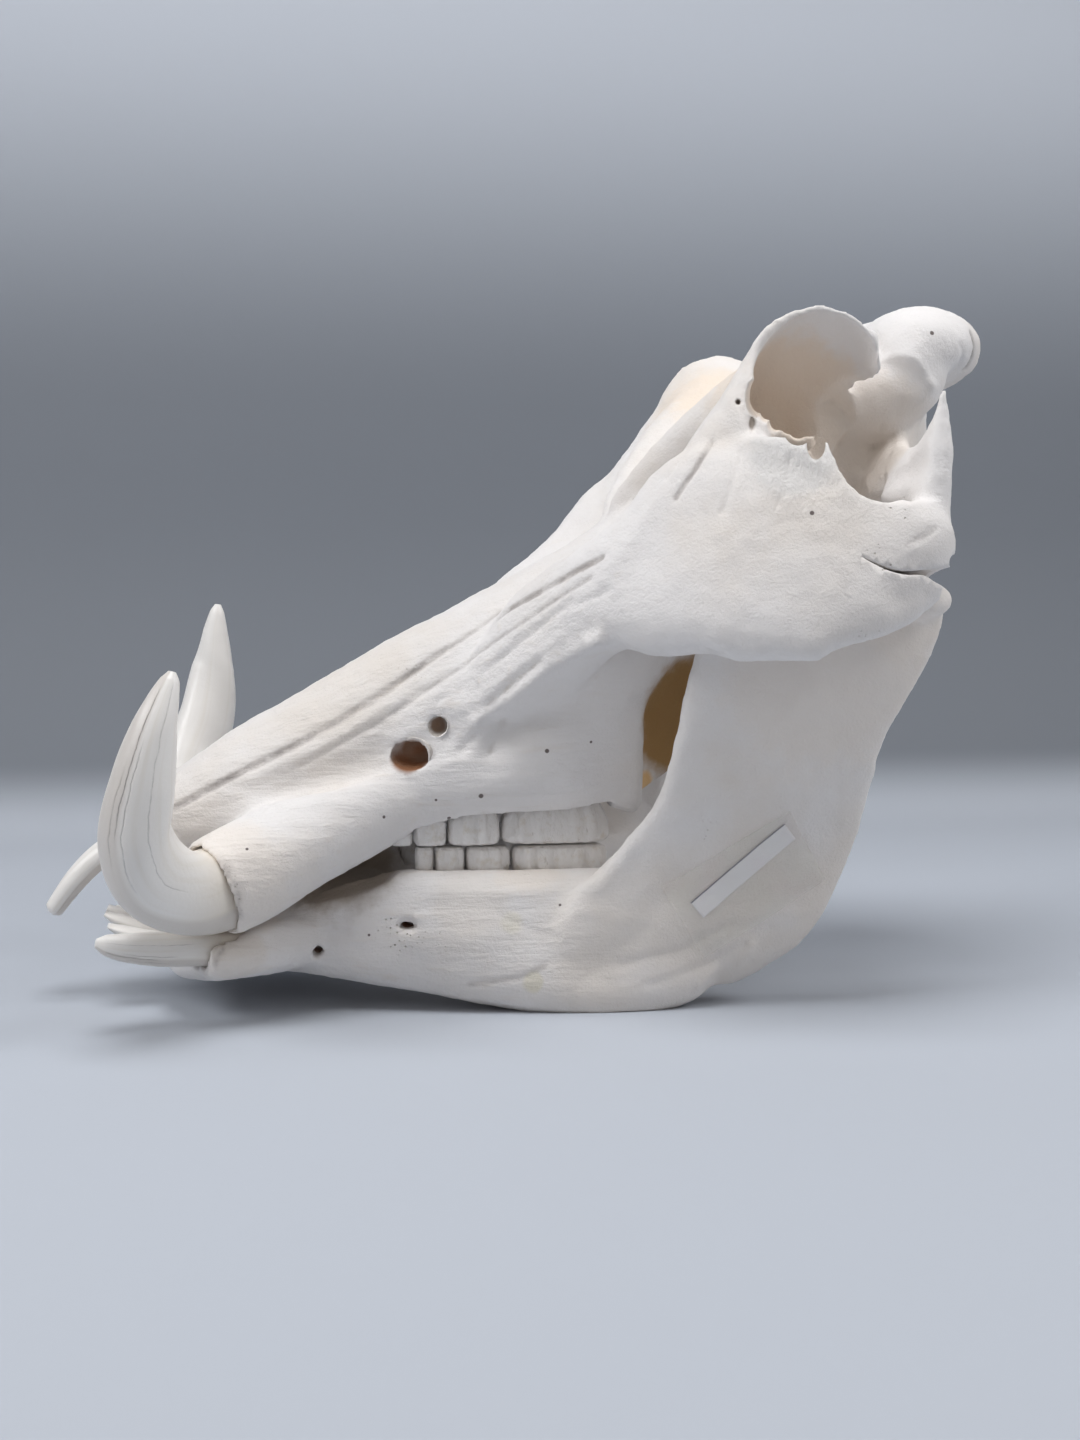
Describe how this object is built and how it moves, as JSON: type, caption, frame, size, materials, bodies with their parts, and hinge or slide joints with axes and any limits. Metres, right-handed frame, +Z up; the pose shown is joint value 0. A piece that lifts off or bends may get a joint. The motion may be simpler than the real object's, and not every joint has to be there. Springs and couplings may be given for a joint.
{
  "type": "warthog skull",
  "caption": "Bleached warthog skull resting on its lower jaw, with curved upper tusks, lower tusks, cheek teeth and a blank label strip under clear tape.",
  "frame": {"origin": "on the ground under the middle of the skull's bounding box", "axes": "+X towards the back of the skull, -X the snout, -Y the animal's left side, +Z up"},
  "size_m": [0.363, 0.2238, 0.264],
  "materials": {
    "cranium_bone": "matte bleached bone",
    "mandible_bone": "matte bleached bone",
    "tusk_ivory": "satin ivory with fine cracks",
    "front_tooth": "satin worn tooth",
    "cheek_tooth": "satin enamel",
    "label_paper": "matte paper",
    "label_tape": "glossy clear tape"
  },
  "bodies": {
    "root": {"cranium": "cranium_bone", "mandible": "mandible_bone", "label_strip": "label_paper", "label_tape": "label_tape", "upper_tusk_left": "tusk_ivory", "lower_tusk_left": "tusk_ivory", "upper_incisor_left": "front_tooth", "lower_first_incisor_left": "front_tooth", "lower_second_incisor_left": "front_tooth", "upper_premolar_left": "cheek_tooth", "upper_first_molar_left": "cheek_tooth", "upper_second_molar_left": "cheek_tooth", "upper_third_molar_left": "cheek_tooth", "lower_premolar_left": "cheek_tooth", "lower_first_molar_left": "cheek_tooth", "lower_second_molar_left": "cheek_tooth", "lower_third_molar_left": "cheek_tooth", "upper_tusk_right": "tusk_ivory", "lower_tusk_right": "tusk_ivory", "upper_incisor_right": "front_tooth", "lower_first_incisor_right": "front_tooth", "lower_second_incisor_right": "front_tooth", "upper_premolar_right": "cheek_tooth", "upper_first_molar_right": "cheek_tooth", "upper_second_molar_right": "cheek_tooth", "upper_third_molar_right": "cheek_tooth", "lower_premolar_right": "cheek_tooth", "lower_first_molar_right": "cheek_tooth", "lower_second_molar_right": "cheek_tooth", "lower_third_molar_right": "cheek_tooth"}
  },
  "joints": []
}
